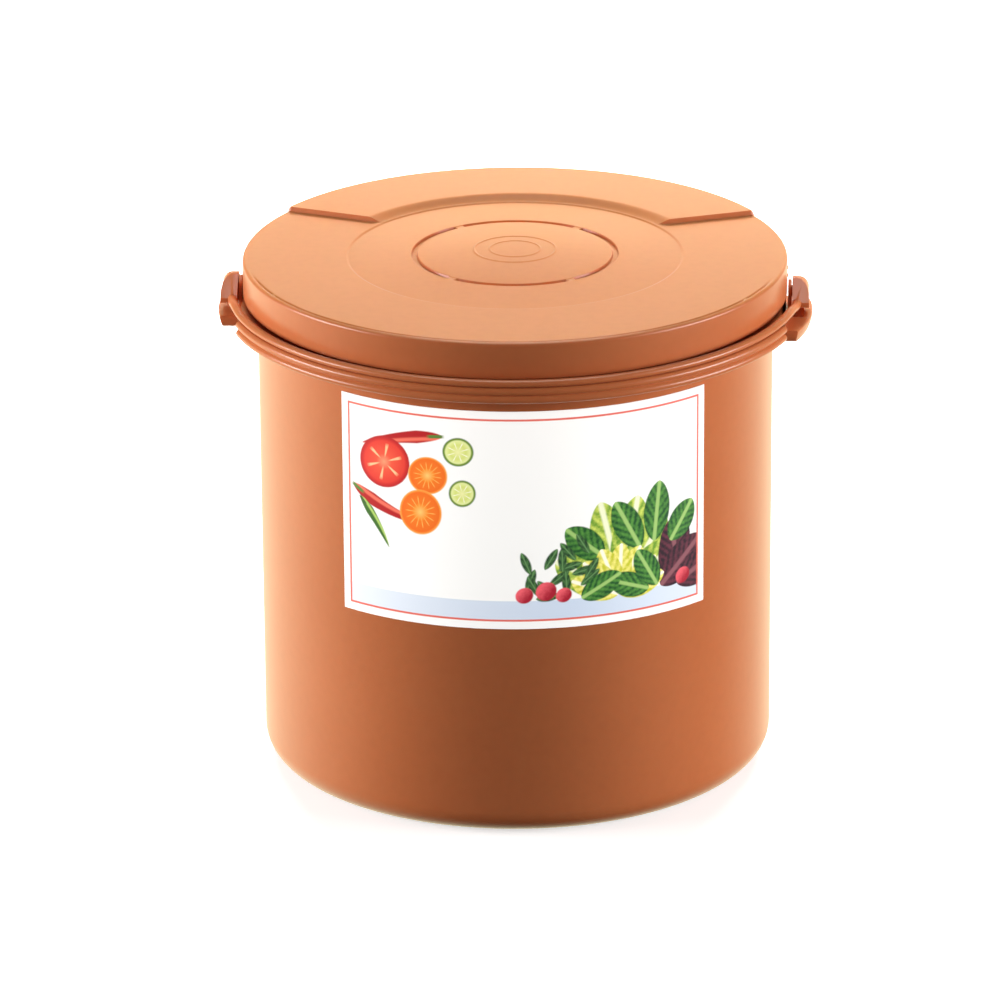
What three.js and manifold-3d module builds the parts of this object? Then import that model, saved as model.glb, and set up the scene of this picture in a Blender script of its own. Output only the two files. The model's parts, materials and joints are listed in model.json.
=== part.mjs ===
// Round twelve-litre kimchi container: a straight tub with a carrying bail, a skirted outer lid,
// and inside it a sliding press lid with a lip seal and an air plug.
// Millimetres, +Z up, origin on the floor under the tub's axis, front towards -Y.

import * as THREE from 'three';
import { mergeVertices } from 'three/addons/utils/BufferGeometryUtils.js';
import Module from 'manifold-3d';

const wasm = await Module();
wasm.setup();

// Facets round the large circles, and round the pivots and the plug
const SIDES = 60;
const SMALL_SIDES = 20;

// Clearances
const SEAT_GAP = 0.3;
const PIN_CLEARANCE = 0.4;
const SEAL_CLEARANCE = 0.4;

// Tub
const BODY_RADIUS = 132.7;
const BODY_TAPER = 0.3;
const WALL = 2.6;
const FLOOR = 3.2;
const BASE_FILLET = 14;
const FOOT_RISE = 2;
const FOOT_WIDTH = 9;
const RIM_HEIGHT = 264.4;

// Flange below the rim, with two beads on its edge
const NECK_HEIGHT = 16;
const FLANGE_OVERHANG = 9;
const FLANGE_PLATE = 2.6;
const BEAD_RADIUS = 2;
const BEAD_PITCH = 4.3;
const BEAD_SWEEP = 50;

// Outer lid
const LID_WALL = 2.4;
const SKIRT_CLEARANCE = 4.9;
const SKIRT_GAP = 1.9;
const LID_EDGE = 3;
const PLUG_CLEARANCE = 0.5;
const PLUG_DEPTH = 10;
const GASKET_WIDTH = 3.4;
const GASKET_THICKNESS = 1.8;

// Relief on the lid's top
const DISC_RADIUS = 85.5;
const DISC_DROP = 0.5;
const DISC_BEVEL = 1.2;
const CROWN_RISE = 1.3;
const GROOVE_RADIUS = 51.6;
const GROOVE_WIDTH = 3.6;
const GROOVE_DEPTH = 1.3;
const GROOVE_BEVEL = 0.6;
const BRIDGE_WIDTH = 5;
const BRIDGE_ANGLE = 36;
const SECTOR_RISE = 2.3;
const SECTOR_SLOPE = 9.5;
const SECTOR_APEX = 23;
const SECTOR_ANGLE = 20.4;

// Carrying bail: an oval bar in front of the lid, and a hub with a thumb face at each end
const BAIL_HEIGHT = 3.8;
const BAIL_DEPTH = 4.6;
const BAIL_FRONT_OFFSET = 6.8;
const BAIL_SIDE_OFFSET = 5.6;
const BAIL_DIP = 2.4;
const BAIL_DIP_START = 34;
const BAIL_DIP_END = 16;
const BAIL_STEPS = 80;
const HUB_LENGTH = 8.6;
const HUB_RADIUS = 8;
const HUB_RISE = 6.8;
const HUB_BACK = 4.5;
const HUB_NOSE = 14;
const HUB_NOSE_DROP = 2;
const HUB_NOSE_THICKNESS = 2.6;
const HUB_DOME = 6.2;
const PIN_RADIUS = 2.9;
const PIN_LENGTH = 1.8;

// Lugs that carry the bail: a ledge in a gap of the flange, and on it a cheek with the pin's bore
const LUG_OVERHANG = 13.2;
const LUG_FRONT = 36;
const LUG_BACK = 20;
const LUG_GAP = 50;
const LUG_BULGE = 90;
const LUG_CORNER = 3.5;
const LUG_SLAB = 6.6;
const LUG_SHELL = 2.4;
const LUG_DOME = 14;
const LEDGE_DROP = 7.3;
const OPENING_FRONT = 14;
const OPENING_BACK = 3;
const OPENING_RIM = 4.4;
const RISER_INSET = 0.6;
const CHEEK_CLEARANCE = 0.4;
const CHEEK_THICKNESS = 1.9;
const CHEEK_HALF_WIDTH = 10;
const CHEEK_EYE_WALL = 2.7;
const CHEEK_EYE_SWEEP = 24;

// Label on the wall
const LABEL_WIDTH_ANGLE = 86.4;
const LABEL_TURN = 4.75;
const LABEL_HEIGHT = 116.4;
const LABEL_DROP = 9.2;
const LABEL_THICKNESS = 0.35;

// Press lid inside the tub
const PRESS_DROP = 5;
const PRESS_DEPTH = 22;
const PRESS_PLATE = 3;
const PRESS_WALL = 2.6;
const SEAL_HEIGHT = 8;
const SEAL_ROOT = 2.4;
const SEAL_LIP = 1.1;
const SEAL_GROOVE_DEPTH = 2.4;
const PRESS_TO_BORE = 3.6;
const PRESS_TRAVEL = 200;

// Grip bridge of the press lid, with its feet let into the plate
const GRIP_SPAN = 92;
const GRIP_WIDTH = 22;
const GRIP_RISE = 22.5;
const GRIP_BAR = 4.5;
const GRIP_CORNER = 11;
const GRIP_SINK = 1.5;

// Air plug of the press lid
const VALVE_INSET = 46.5;
const VALVE_HOLE_RADIUS = 5.2;
const VALVE_COLLAR_WALL = 3;
const VALVE_COLLAR_RISE = 6;
const VALVE_CAP_RADIUS = 10;
const VALVE_CAP_THICKNESS = 3.2;
const VALVE_KNOB_RADIUS = 4.2;
const VALVE_KNOB_RISE = 5;
const VALVE_TIP_TAPER = 1.2;

// Sizes worked out from the driving ones
const baseRadius = BODY_RADIUS - BODY_TAPER;
const boreRadius = BODY_RADIUS - WALL;
const floorTop = FOOT_RISE + FLOOR;
const skirtInside = BODY_RADIUS + SKIRT_CLEARANCE;
const lidRadius = skirtInside + LID_WALL;
const flangeRadius = lidRadius + FLANGE_OVERHANG;
const flangeTop = RIM_HEIGHT - NECK_HEIGHT;
const flangeBottom = flangeTop - 2 * BEAD_RADIUS - BEAD_PITCH;
const bailFront = lidRadius + BAIL_FRONT_OFFSET;
const bailSide = lidRadius + BAIL_SIDE_OFFSET;
const pivotHeight = flangeTop + SEAT_GAP + BAIL_HEIGHT / 2;
const riserOutside = lidRadius - RISER_INSET;
const cheekInside = lidRadius + CHEEK_CLEARANCE;
const cheekOutside = cheekInside + CHEEK_THICKNESS;
const hubInside = cheekOutside + SEAT_GAP;
const hubOutside = hubInside + HUB_LENGTH;
const lugReach = lidRadius + LUG_OVERHANG;
const ledgeTop = flangeTop - LEDGE_DROP;
const slabBottom = ledgeTop - LUG_SLAB;
const boreOfPin = PIN_RADIUS + PIN_CLEARANCE;
const gasketBottom = RIM_HEIGHT + SEAT_GAP;
const lidUnderside = gasketBottom + GASKET_THICKNESS + SEAT_GAP;
const lidTop = lidUnderside + LID_WALL;
const skirtBottom = flangeTop + SKIRT_GAP;
const plugRadius = boreRadius - PLUG_CLEARANCE;
const plugBottom = lidUnderside - PLUG_DEPTH;
const pressTop = plugBottom - PRESS_DROP;
const pressBottom = pressTop - PRESS_DEPTH;
const plateTop = pressBottom + PRESS_PLATE;
const gripFoot = plateTop - GRIP_SINK + SEAT_GAP;
const pressRadius = boreRadius - PRESS_TO_BORE;
const valveOffset = pressRadius - VALVE_INSET;

const radians = THREE.MathUtils.degToRad;

// Wall radius at a height: the wall draws in a little towards the base
function wallRadius(height) {
  return BODY_RADIUS - BODY_TAPER * (1 - height / flangeTop);
}

// Points along an arc in the profile plane, from one angle to another in degrees
function arc(radius, centreR, centreZ, from, to, steps) {
  const points = [];
  for (let i = 0; i <= steps; i += 1) {
    const angle = radians(from + ((to - from) * i) / steps);
    points.push([centreR + radius * Math.cos(angle), centreZ + radius * Math.sin(angle)]);
  }
  return points;
}

// A closed geometry as a solid that can be joined and cut
function solid(geometry) {
  geometry.deleteAttribute('normal');
  geometry.deleteAttribute('uv');
  const merged = mergeVertices(geometry, 1e-4);
  return new wasm.Manifold(new wasm.Mesh({
    numProp: 3,
    vertProperties: new Float32Array(merged.attributes.position.array),
    triVerts: new Uint32Array(merged.index.array),
  }));
}

// A profile of [radius, height] points turned about the Z axis, outer wall upwards
function revolve(profile, sides = SIDES) {
  const points = profile.map(([radius, height]) => new THREE.Vector2(radius, height));
  const geometry = new THREE.LatheGeometry(points, sides);
  return geometry.rotateX(Math.PI / 2);
}

// A closed ring profile turned about the Z axis
function revolveRing(profile, sides = SIDES) {
  return revolve([...profile, profile[0]], sides);
}

// A flat outline in X and Y raised from one height to another
function raise(shape, bottom, top, curveSegments = 6) {
  const geometry = new THREE.ExtrudeGeometry(shape, {
    depth: top - bottom, bevelEnabled: false, curveSegments,
  });
  return geometry.translate(0, 0, bottom);
}

// An outline in Y and Z pushed along X from one place to another
function pushAlongX(shape, from, to, curveSegments = 6) {
  const geometry = raise(shape, from, to, curveSegments);
  const axes = new THREE.Matrix4().makeBasis(
    new THREE.Vector3(0, 1, 0), new THREE.Vector3(0, 0, 1), new THREE.Vector3(1, 0, 0),
  );
  return geometry.applyMatrix4(axes);
}

// A block between two corners
function block(low, high) {
  const size = high.map((value, i) => value - low[i]);
  const centre = high.map((value, i) => (value + low[i]) / 2);
  return new THREE.BoxGeometry(...size).translate(...centre);
}

function material(colour, roughness) {
  return new THREE.MeshStandardMaterial({ color: colour, roughness, metalness: 0 });
}

const terracotta = material(0xcf7a4b, 0.42);
const pressPlastic = material(0xd9a27c, 0.45);
const silicone = material(0xe9e4da, 0.6);
const paper = material(0xf6f4ef, 0.55);

const container = new THREE.Group();

// Adds one finished piece to the container
function addPiece(name, body, finish) {
  const made = body.getMesh();
  const geometry = new THREE.BufferGeometry();
  geometry.setAttribute('position', new THREE.BufferAttribute(made.vertProperties, 3));
  geometry.setIndex(new THREE.BufferAttribute(made.triVerts, 1));
  geometry.computeVertexNormals();
  const mesh = new THREE.Mesh(geometry, finish);
  mesh.name = name;
  container.add(mesh);
}

// Tub: one turned shell from the foot ring to the rim
function tubShell() {
  const footOutside = baseRadius - BASE_FILLET;
  const footInside = footOutside - FOOT_WIDTH;
  const innerFillet = BASE_FILLET - WALL;
  const beadCentre = flangeRadius - BEAD_RADIUS;
  const upperBead = flangeTop - BEAD_RADIUS;
  const lowerBead = upperBead - BEAD_PITCH;
  const channelTop = flangeTop - FLANGE_PLATE;
  const rimRound = WALL / 2;
  return revolve([
    [0, FOOT_RISE],
    [footInside - FOOT_RISE, FOOT_RISE],
    [footInside, 0],
    ...arc(BASE_FILLET, footOutside, BASE_FILLET, -90, 0, 5),
    [wallRadius(channelTop), channelTop],
    [beadCentre - BEAD_RADIUS, channelTop],
    [beadCentre - BEAD_RADIUS, flangeBottom],
    ...arc(BEAD_RADIUS, beadCentre, lowerBead, -90, BEAD_SWEEP, 4),
    ...arc(BEAD_RADIUS, beadCentre, upperBead, -BEAD_SWEEP, 90, 4),
    [BODY_RADIUS, flangeTop],
    ...arc(rimRound, BODY_RADIUS - rimRound, RIM_HEIGHT - rimRound, 0, 180, 4),
    [boreRadius, flangeTop],
    ...arc(innerFillet, footOutside, floorTop + innerFillet, 0, -90, 4),
    [0, floorTop],
  ]);
}

// Ledge outline seen from the side: a long slab with rounded lower corners, longer to one end
function ledgeOutline() {
  const cornerHeight = slabBottom + LUG_CORNER;
  const shape = new THREE.Shape();
  shape.moveTo(LUG_BACK, ledgeTop);
  shape.lineTo(-LUG_FRONT, ledgeTop);
  shape.absarc(LUG_CORNER - LUG_FRONT, cornerHeight, LUG_CORNER, Math.PI, Math.PI * 1.5, false);
  shape.absarc(LUG_BACK - LUG_CORNER, cornerHeight, LUG_CORNER, -Math.PI / 2, 0, false);
  return shape;
}

// Cheek outline seen from the side: it narrows from the ledge to a round eye about the pivot
function cheekOutline() {
  const eye = boreOfPin + CHEEK_EYE_WALL;
  const foot = ledgeTop - LUG_SHELL;
  const shape = new THREE.Shape();
  shape.moveTo(-CHEEK_HALF_WIDTH, foot);
  shape.lineTo(CHEEK_HALF_WIDTH, foot);
  shape.absarc(0, pivotHeight, eye, radians(CHEEK_EYE_SWEEP), radians(180 - CHEEK_EYE_SWEEP), false);
  return shape;
}

// Domed outside of a ledge: it bulges more than the flange, as a turned body about an axis of its own
function lugDome() {
  const reach = 2 * LUG_SLAB;
  const swing = THREE.MathUtils.radToDeg(Math.asin(reach / LUG_DOME));
  const outside = arc(LUG_DOME, LUG_BULGE - LUG_DOME, ledgeTop, -swing, swing, 8);
  const dome = revolve([[0, ledgeTop - reach], ...outside, [0, ledgeTop + reach]]);
  return dome.translate(lugReach - LUG_BULGE, 0, 0);
}

// One lug: a ledge pushed out from the wall and domed outside, a riser that closes the flange above it
// and the cheek that stands on it
function makeLug() {
  const buried = boreRadius + WALL / 2;
  const ledge = solid(pushAlongX(ledgeOutline(), buried, lugReach + WALL)).intersect(solid(lugDome()));
  const riser = block(
    [riserOutside - CHEEK_THICKNESS, -LUG_GAP, flangeBottom],
    [riserOutside, LUG_GAP, flangeTop],
  );
  const cheek = pushAlongX(cheekOutline(), cheekInside, cheekOutside);
  return ledge.add(solid(riser)).add(solid(cheek));
}

// The gap in the flange above a lug's ledge
function flangeGap() {
  return block(
    [riserOutside, -LUG_GAP, flangeBottom - LUG_SHELL],
    [lugReach + WALL, LUG_GAP, RIM_HEIGHT],
  );
}

// What is cut out of a lug: the opening under the hub, the pin's bore and the hollows under the ledge
function lugCuts() {
  const opening = block(
    [hubInside, -OPENING_FRONT, slabBottom - LUG_SHELL],
    [lugReach - OPENING_RIM, OPENING_BACK, ledgeTop + LUG_SHELL],
  );
  const bore = new THREE.CylinderGeometry(boreOfPin, boreOfPin, 2 * CHEEK_THICKNESS, SMALL_SIDES);
  bore.rotateZ(Math.PI / 2).translate((cheekInside + cheekOutside) / 2, 0, pivotHeight);
  const hollows = [
    [LUG_SHELL - LUG_FRONT, -LUG_SHELL - OPENING_FRONT],
    [OPENING_BACK + LUG_SHELL, LUG_BACK - LUG_SHELL],
  ].map(([from, to]) => block(
    [wallRadius(slabBottom) + LUG_SHELL, from, slabBottom - LUG_SHELL],
    [hubInside, to, ledgeTop - LUG_SHELL],
  ));
  return [opening, bore, ...hollows];
}

function makeTub() {
  let tub = solid(tubShell());
  for (const turn of [0, 180]) {
    tub = tub.subtract(solid(flangeGap()).rotate([0, 0, turn]));
    tub = tub.add(makeLug().rotate([0, 0, turn]));
    for (const cut of lugCuts()) {
      tub = tub.subtract(solid(cut).rotate([0, 0, turn]));
    }
  }
  addPiece('tub', tub, terracotta);
}

// The bail's bar: half of an oval in front of the tub, from one hub to the other, with a dip at each hub
class BailLine extends THREE.Curve {
  getPoint(t, target = new THREE.Vector3()) {
    const buried = Math.asin(HUB_RADIUS / 2 / bailFront);
    const angle = Math.PI + buried + t * (Math.PI - 2 * buried);
    const y = bailFront * Math.sin(angle);
    const dip = BAIL_DIP * (1 - THREE.MathUtils.smoothstep(-y, BAIL_DIP_END, BAIL_DIP_START));
    return target.set(bailSide * Math.cos(angle), y, pivotHeight - dip);
  }
}

// Hub outline seen from the side, about the pivot: round below, with a thumb face down to a nose
function hubOutline() {
  const shape = new THREE.Shape();
  shape.moveTo(HUB_BACK, HUB_RISE);
  shape.lineTo(0, HUB_RISE);
  shape.lineTo(-HUB_NOSE, -HUB_NOSE_DROP);
  shape.lineTo(-HUB_NOSE, -HUB_NOSE_DROP - HUB_NOSE_THICKNESS);
  shape.absarc(0, 0, HUB_RADIUS, Math.PI * 1.25, Math.PI * 2, false);
  return shape;
}

// Hub outline seen from the front: flat beside the cheek, domed outside
function hubFront() {
  const shape = new THREE.Shape();
  shape.moveTo(hubInside, -HUB_RADIUS);
  shape.lineTo(hubOutside, -HUB_RADIUS);
  shape.absellipse(hubOutside - HUB_DOME, 0, HUB_DOME, HUB_RISE, 0, Math.PI / 2, false, 0);
  shape.lineTo(hubInside, HUB_RISE);
  return shape;
}

// A hub with its pivot pin, which points to the tub
function hub() {
  const side = solid(pushAlongX(hubOutline(), hubInside, hubOutside));
  const front = solid(raise(hubFront(), -HUB_NOSE, HUB_NOSE).rotateX(Math.PI / 2));
  const pin = new THREE.CylinderGeometry(PIN_RADIUS, PIN_RADIUS, 2 * PIN_LENGTH, SMALL_SIDES);
  pin.rotateZ(Math.PI / 2).translate(hubInside, 0, 0);
  return side.intersect(front).add(solid(pin)).translate([0, 0, pivotHeight]);
}

function makeBail() {
  const section = new THREE.Shape();
  section.absellipse(0, 0, BAIL_HEIGHT / 2, BAIL_DEPTH / 2, 0, Math.PI * 2, false, 0);
  const bar = new THREE.ExtrudeGeometry(section, {
    steps: BAIL_STEPS, curveSegments: 5, bevelEnabled: false, extrudePath: new BailLine(),
  });
  const bail = solid(bar).add(hub()).add(hub().mirror([1, 0, 0]));
  addPiece('carry_bail', bail, terracotta);
}

// Height of the lid's sunken disc at a radius: it rises gently from its edge to the groove
function discHeight(radius) {
  const share = (DISC_RADIUS - radius) / (DISC_RADIUS - GROOVE_RADIUS);
  return lidTop - DISC_DROP + CROWN_RISE * share;
}

// Lid shell: skirt, top with sunken disc and ring groove, and the plug ring under it
function lidShell() {
  const grooveOutside = GROOVE_RADIUS + GROOVE_WIDTH / 2;
  const grooveInside = GROOVE_RADIUS - GROOVE_WIDTH / 2;
  const grooveTop = discHeight(grooveOutside);
  const crownHeight = discHeight(grooveInside) + CROWN_RISE / 2;
  return revolve([
    [0, lidUnderside],
    [plugRadius - LID_WALL, lidUnderside],
    [plugRadius - LID_WALL, plugBottom],
    [plugRadius, plugBottom],
    [plugRadius, lidUnderside],
    [skirtInside, lidUnderside],
    [skirtInside, skirtBottom],
    [lidRadius, skirtBottom],
    ...arc(LID_EDGE, lidRadius - LID_EDGE, lidTop - LID_EDGE, 0, 90, 4),
    [DISC_RADIUS + DISC_BEVEL, lidTop],
    [DISC_RADIUS, discHeight(DISC_RADIUS)],
    [grooveOutside, grooveTop],
    [grooveOutside - GROOVE_BEVEL, grooveTop - GROOVE_DEPTH],
    [grooveInside + GROOVE_BEVEL, grooveTop - GROOVE_DEPTH],
    [grooveInside, grooveTop],
    [0, crownHeight],
  ]);
}

// Raised back part of the lid's top: a turned ring cut to a wedge that opens to the back
function lidSector() {
  const sectorTop = lidTop + SECTOR_RISE;
  const sunk = lidTop - LID_WALL / 2;
  const ring = revolveRing([
    [DISC_RADIUS + DISC_BEVEL, sunk],
    [lidRadius - LID_EDGE, sunk],
    [lidRadius, lidTop - LID_EDGE],
    ...arc(LID_EDGE, lidRadius - LID_EDGE, sectorTop - LID_EDGE, 0, 90, 4),
    [DISC_RADIUS + DISC_BEVEL + SECTOR_SLOPE, sectorTop],
    [DISC_RADIUS + DISC_BEVEL, lidTop],
  ]);
  const far = 2 * lidRadius;
  const rise = far * Math.tan(radians(SECTOR_ANGLE));
  const wedge = new THREE.Shape();
  wedge.moveTo(0, SECTOR_APEX);
  wedge.lineTo(far, SECTOR_APEX + rise);
  wedge.lineTo(far, 2 * far);
  wedge.lineTo(-far, 2 * far);
  wedge.lineTo(-far, SECTOR_APEX + rise);
  return solid(ring).intersect(solid(raise(wedge, sunk - LID_EDGE, sectorTop + LID_EDGE)));
}

function makeOuterLid() {
  let lid = solid(lidShell()).add(lidSector());
  const grooveTop = discHeight(GROOVE_RADIUS + GROOVE_WIDTH / 2);
  for (const angle of [BRIDGE_ANGLE, -BRIDGE_ANGLE, 180 - BRIDGE_ANGLE, BRIDGE_ANGLE - 180]) {
    const bridge = block(
      [-BRIDGE_WIDTH / 2, -GROOVE_RADIUS - GROOVE_WIDTH, grooveTop - GROOVE_DEPTH - LID_WALL / 4],
      [BRIDGE_WIDTH / 2, -GROOVE_RADIUS + GROOVE_WIDTH, grooveTop - GROOVE_DEPTH / 4],
    );
    lid = lid.add(solid(bridge.rotateZ(radians(angle))));
  }
  addPiece('outer_lid', lid, terracotta);
}

function makeGasket() {
  const inside = plugRadius + SEAT_GAP;
  const gasket = revolveRing([
    [inside, gasketBottom],
    [inside + GASKET_WIDTH, gasketBottom],
    [inside + GASKET_WIDTH, gasketBottom + GASKET_THICKNESS],
    [inside, gasketBottom + GASKET_THICKNESS],
  ]);
  addPiece('outer_lid_gasket', solid(gasket), silicone);
}

// Paper label: a thin ring that follows the wall, cut to the label's width
function makeLabel() {
  const top = flangeBottom - LABEL_DROP;
  const bottom = top - LABEL_HEIGHT;
  const gap = SEAT_GAP;
  const ring = revolveRing([
    [wallRadius(bottom) + gap, bottom],
    [wallRadius(bottom) + gap + LABEL_THICKNESS, bottom],
    [wallRadius(top) + gap + LABEL_THICKNESS, top],
    [wallRadius(top) + gap, top],
  ]);
  const far = 2 * BODY_RADIUS;
  const half = radians(LABEL_WIDTH_ANGLE / 2);
  const wedge = new THREE.Shape();
  wedge.moveTo(0, 0);
  wedge.lineTo(-far * Math.sin(half), -far * Math.cos(half));
  wedge.lineTo(far * Math.sin(half), -far * Math.cos(half));
  const window = raise(wedge, bottom - WALL, top + WALL).rotateZ(radians(LABEL_TURN));
  addPiece('label', solid(ring).intersect(solid(window)), paper);
}

// Press lid: a dish with a groove for its seal
function pressDish() {
  const grooveTop = plateTop + SEAL_HEIGHT + 2 * SEAT_GAP;
  const grooveRadius = pressRadius - SEAL_GROOVE_DEPTH;
  return revolve([
    [0, pressBottom],
    [pressRadius, pressBottom],
    [pressRadius, plateTop],
    [grooveRadius, plateTop],
    [grooveRadius, grooveTop],
    [pressRadius, grooveTop],
    [pressRadius, pressTop],
    [pressRadius - PRESS_WALL, pressTop],
    [pressRadius - PRESS_WALL, grooveTop + PRESS_WALL],
    [grooveRadius - PRESS_WALL, grooveTop],
    [grooveRadius - PRESS_WALL, plateTop],
    [0, plateTop],
  ]);
}

// The pockets in the plate that take the grip's feet
function gripPockets() {
  const outside = GRIP_SPAN / 2 + SEAT_GAP;
  const inside = GRIP_SPAN / 2 - GRIP_BAR - SEAT_GAP;
  const halfWidth = GRIP_WIDTH / 2 + SEAT_GAP;
  return [[-outside, -inside], [inside, outside]].map(([from, to]) => block(
    [from, -halfWidth, plateTop - GRIP_SINK],
    [to, halfWidth, plateTop + GRIP_SINK],
  ));
}

// The press lid's dish with the air plug's collar and hole, and the grip's pockets
function makePressLid() {
  const collarTop = plateTop + VALVE_COLLAR_RISE;
  const collarRadius = VALVE_HOLE_RADIUS + VALVE_COLLAR_WALL;
  const collar = revolve([
    [0, pressBottom + PRESS_PLATE / 2],
    [collarRadius, pressBottom + PRESS_PLATE / 2],
    [collarRadius, collarTop],
    [0, collarTop],
  ], SMALL_SIDES);
  const hole = revolve([
    [0, pressBottom - PRESS_PLATE],
    [VALVE_HOLE_RADIUS, pressBottom - PRESS_PLATE],
    [VALVE_HOLE_RADIUS, collarTop + PRESS_PLATE],
    [0, collarTop + PRESS_PLATE],
  ], SMALL_SIDES);
  let lid = solid(pressDish())
    .add(solid(collar.translate(valveOffset, 0, 0)))
    .subtract(solid(hole.translate(valveOffset, 0, 0)));
  for (const pocket of gripPockets()) {
    lid = lid.subtract(solid(pocket));
  }
  addPiece('inner_press_lid', lid, pressPlastic);
}

// Outline of the grip bridge in X and Z, with its finger gap
function gripOutline() {
  const half = GRIP_SPAN / 2;
  const cornerHeight = plateTop + GRIP_RISE - GRIP_CORNER;
  const innerCorner = GRIP_CORNER - GRIP_BAR;
  const shape = new THREE.Shape();
  shape.moveTo(half, gripFoot);
  shape.absarc(half - GRIP_CORNER, cornerHeight, GRIP_CORNER, 0, Math.PI / 2, false);
  shape.absarc(-half + GRIP_CORNER, cornerHeight, GRIP_CORNER, Math.PI / 2, Math.PI, false);
  shape.lineTo(-half, gripFoot);
  shape.lineTo(-half + GRIP_BAR, gripFoot);
  shape.absarc(-half + GRIP_CORNER, cornerHeight, innerCorner, Math.PI, Math.PI / 2, true);
  shape.absarc(half - GRIP_CORNER, cornerHeight, innerCorner, Math.PI / 2, 0, true);
  shape.lineTo(half - GRIP_BAR, gripFoot);
  return shape;
}

function makeGrip() {
  const grip = raise(gripOutline(), -GRIP_WIDTH / 2, GRIP_WIDTH / 2, 4).rotateX(Math.PI / 2);
  addPiece('press_lid_grip', solid(grip), pressPlastic);
}

// Lip seal: a root ring in the press lid's groove and two lips that reach for the bore
function makePressSeal() {
  const inside = pressRadius - SEAL_GROOVE_DEPTH + SEAT_GAP;
  const bottom = plateTop + SEAT_GAP;
  const top = bottom + SEAL_HEIGHT;
  const lowestBore = wallRadius(pressBottom - PRESS_TRAVEL) - WALL;
  const reach = lowestBore * Math.cos(Math.PI / SIDES) - SEAL_CLEARANCE;
  const root = inside + SEAL_ROOT;
  const seal = revolveRing([
    [inside, bottom],
    [root, bottom],
    [reach, bottom + SEAL_LIP],
    [reach, bottom + 2 * SEAL_LIP],
    [root, bottom + 2 * SEAL_LIP],
    [root, top - 2 * SEAL_LIP],
    [reach, top - SEAL_LIP],
    [reach, top],
    [root, top],
    [inside, top],
  ]);
  addPiece('press_lid_seal', solid(seal), silicone);
}

// Air plug: a stem in the press lid's hole, a cap on the collar and a knob to pull it by
function makeValvePlug() {
  const stemRadius = VALVE_HOLE_RADIUS - PIN_CLEARANCE;
  const capBottom = plateTop + VALVE_COLLAR_RISE + SEAT_GAP;
  const capTop = capBottom + VALVE_CAP_THICKNESS;
  const capRound = VALVE_CAP_THICKNESS / 2;
  const knobTop = capTop + VALVE_KNOB_RISE;
  const plug = revolve([
    [0, pressBottom],
    [stemRadius - VALVE_TIP_TAPER, pressBottom],
    [stemRadius, pressBottom + 2 * VALVE_TIP_TAPER],
    [stemRadius, capBottom],
    [VALVE_CAP_RADIUS, capBottom],
    ...arc(capRound, VALVE_CAP_RADIUS - capRound, capTop - capRound, 0, 90, 3),
    [VALVE_KNOB_RADIUS, capTop],
    [VALVE_KNOB_RADIUS, knobTop - capRound],
    [VALVE_KNOB_RADIUS - capRound, knobTop],
    [0, knobTop],
  ], SMALL_SIDES);
  addPiece('air_valve_plug', solid(plug.translate(valveOffset, 0, 0)), silicone);
}

makeTub();
makeBail();
makeOuterLid();
makeGasket();
makeLabel();
makePressLid();
makeGrip();
makePressSeal();
makeValvePlug();

export default container;
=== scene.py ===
# %% [markdown]
# # A kimchi container, dressed for its picture
# The container is a straight round tub of terracotta plastic. A slim carrying bail lies folded in front of
# it, under the skirt of a broad lid. A second lid inside presses the food down. The solids already exist in
# real sizes, so this lesson loads them as a fixed frame and builds a smooth, finished piece over each one.

# %% Load the frame
import json
import math

import bmesh
import bpy
import numpy as np
from mathutils import Matrix, Vector


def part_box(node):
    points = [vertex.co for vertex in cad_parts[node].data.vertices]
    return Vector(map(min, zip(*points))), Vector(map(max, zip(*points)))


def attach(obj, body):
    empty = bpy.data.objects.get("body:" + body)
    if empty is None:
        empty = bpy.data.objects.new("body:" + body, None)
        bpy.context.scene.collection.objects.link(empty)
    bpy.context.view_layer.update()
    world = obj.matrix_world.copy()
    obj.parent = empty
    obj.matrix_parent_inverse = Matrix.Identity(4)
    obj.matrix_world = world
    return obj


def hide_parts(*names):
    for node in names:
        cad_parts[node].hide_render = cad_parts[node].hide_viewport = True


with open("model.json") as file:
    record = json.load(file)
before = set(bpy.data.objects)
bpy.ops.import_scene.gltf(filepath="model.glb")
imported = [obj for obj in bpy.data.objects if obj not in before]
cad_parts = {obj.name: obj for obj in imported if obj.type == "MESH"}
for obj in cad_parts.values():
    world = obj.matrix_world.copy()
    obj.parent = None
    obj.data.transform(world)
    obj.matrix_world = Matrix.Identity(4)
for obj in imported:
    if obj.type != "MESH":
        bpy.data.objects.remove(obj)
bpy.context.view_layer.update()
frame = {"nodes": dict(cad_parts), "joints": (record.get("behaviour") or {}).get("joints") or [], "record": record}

MM = 0.001


def node_box(node):
    """Lowest and highest corner of a solid, in millimetres."""
    low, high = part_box(node)
    return np.array(low) / MM, np.array(high) / MM


print("solids:", ", ".join(sorted(frame["nodes"])))

# %% [markdown]
# ## Camera
# A long lens from more than three metres keeps the tub's sides nearly parallel, as in the photograph. Its
# place was worked out beforehand from the rim's ellipse, the label's corners and the base. A look-at
# constraint would be simpler, but it can't hold the slight roll, so the turns are multiplied by hand.

# %% Camera
CAMERA_DISTANCE = 3.4
CAMERA_HEIGHT = 1.4066
CAMERA_TURN = math.radians(2.6)
CAMERA_DROP = math.radians(20.517)
CAMERA_PAN = math.radians(0.144)
CAMERA_ROLL = math.radians(-0.391)
LENS = 250.98
SENSOR = 36.0

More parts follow.
